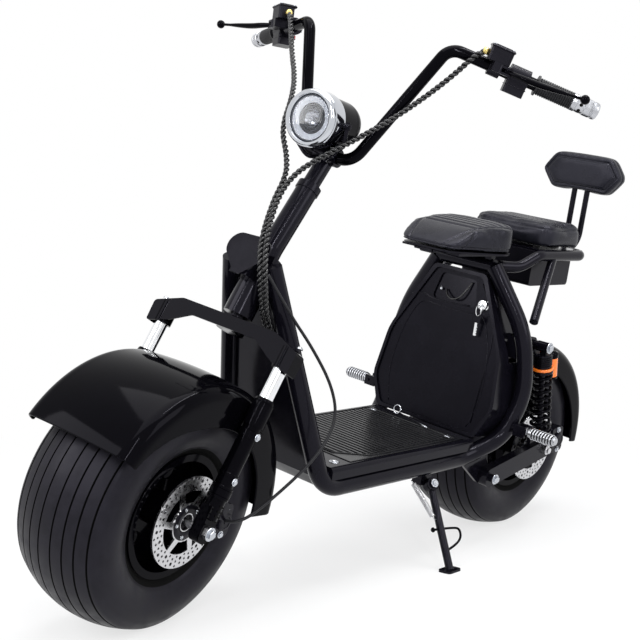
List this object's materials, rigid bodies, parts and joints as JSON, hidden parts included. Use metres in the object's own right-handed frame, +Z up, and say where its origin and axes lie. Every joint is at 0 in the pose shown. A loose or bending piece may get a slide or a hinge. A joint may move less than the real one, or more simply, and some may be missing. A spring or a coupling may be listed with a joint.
{
  "type": "electric scooter",
  "caption": "Low step-through electric scooter with fat tyres, twin-tube cradle frame, high bar, saddle, passenger seat and backrest, leaning on its side stand",
  "frame": {"origin": "on the floor, below the middle of the whole scooter as it leans on its side stand", "axes": "+X forward, +Y to the rider's left, +Z up"},
  "size_m": [1.5807, 0.8418, 1.1679],
  "materials": {
    "bare_alloy": "cast aluminium",
    "bare_steel": "ground steel",
    "black_plastic": "fine-grained black plastic",
    "bright_chrome": "polished chrome",
    "clear_lens": "clear lens",
    "frame_paint": "semi-gloss black powder coat",
    "gloss_black": "high-gloss black lacquer",
    "orange_paint": "orange lacquer",
    "red_lens": "red lens",
    "seat_vinyl": "black grained vinyl with stitched channels",
    "soft_rubber": "moulded black rubber",
    "tyre_rubber": "black tyre rubber"
  },
  "bodies": {
    "root": {"frame_tubes": "frame_paint", "neck": "frame_paint", "front_panel": "frame_paint", "floor_box": "black_plastic", "battery": "black_plastic", "deck_plate": "frame_paint", "deck_mat": "soft_rubber", "tower_shell": "frame_paint", "tower_panel": "black_plastic", "lock_and_key": "bright_chrome", "saddle_base": "frame_paint", "rear_rack": "frame_paint", "rack_box": "black_plastic", "tail_lamp": "red_lens", "passenger_seat": "seat_vinyl", "backrest_posts": "frame_paint", "backrest": "seat_vinyl", "rear_fender": "gloss_black", "swingarm": "frame_paint", "rear_axle": "bare_steel", "shock_bodies": "frame_paint", "shock_springs": "frame_paint", "shock_reservoirs": "orange_paint", "side_brackets": "frame_paint", "fender_stay": "frame_paint", "rear_caliper": "frame_paint", "stand_bracket": "frame_paint"},
    "steering": {"front_axle": "bare_steel", "fork_lowers": "frame_paint", "fork_stanchions": "bright_chrome", "fork_bridge": "frame_paint", "stem": "frame_paint", "bar_clamp": "frame_paint", "handlebar": "frame_paint", "grips": "soft_rubber", "grip_caps": "bright_chrome", "bar_controls": "black_plastic", "brake_levers": "frame_paint", "lamp_bucket": "gloss_black", "lamp_bezel": "bright_chrome", "lamp_lens": "clear_lens", "front_fender": "gloss_black", "front_caliper": "frame_paint", "cable_loom": "black_plastic", "brake_hose": "soft_rubber"},
    "front_wheel": {"front_tyre": "tyre_rubber", "front_rim": "frame_paint", "front_disc": "bare_steel"},
    "rear_wheel": {"rear_tyre": "tyre_rubber", "rear_rim": "frame_paint", "rear_disc": "bare_steel"},
    "side_stand": {"stand_spring": "bare_steel", "stand_leg": "frame_paint"},
    "saddle_lid": {"saddle_pan": "black_plastic", "saddle": "seat_vinyl"},
    "peg_left": {"peg_left": "bare_alloy"},
    "peg_right": {"peg_right": "bare_alloy"}
  },
  "joints": [
    {"name": "steering", "type": "hinge", "parent": "root", "child": "steering", "pos_m": [0.55578, -0.13644, 0.22117], "axis": [-0.4602, 0.1542, 0.8743], "range_deg": [-35, 17], "deforming": ["cable_loom", "brake_hose"]},
    {"name": "front_wheel", "type": "hinge", "parent": "steering", "child": "front_wheel", "pos_m": [0.56455, -0.13411, 0.22537], "axis": [-0.1389, 0.9602, -0.2424], "continuous": true},
    {"name": "rear_wheel", "type": "hinge", "parent": "root", "child": "rear_wheel", "pos_m": [-0.53534, -0.13564, 0.22568], "axis": [0, 0.9848, -0.1736], "continuous": true},
    {"name": "side_stand", "type": "hinge", "parent": "root", "child": "side_stand", "pos_m": [-0.12034, -0.00333, 0.16986], "axis": [0.1972, 0.8922, 0.4062], "range_deg": [0, 79.27], "deforming": ["stand_spring"]},
    {"name": "saddle_lid", "type": "hinge", "parent": "root", "child": "saddle_lid", "pos_m": [-0.16434, -0.05681, 0.67279], "axis": [0, 0.9848, -0.1736], "range_deg": [0, 75]},
    {"name": "peg_left", "type": "hinge", "parent": "root", "child": "peg_left", "pos_m": [-0.32634, 0.09827, 0.2738], "axis": [1, 0, 0], "range_deg": [0, 80]},
    {"name": "peg_right", "type": "hinge", "parent": "root", "child": "peg_right", "pos_m": [-0.32634, -0.33899, 0.3509], "axis": [-1, 0, 0], "range_deg": [0, 80]}
  ]
}
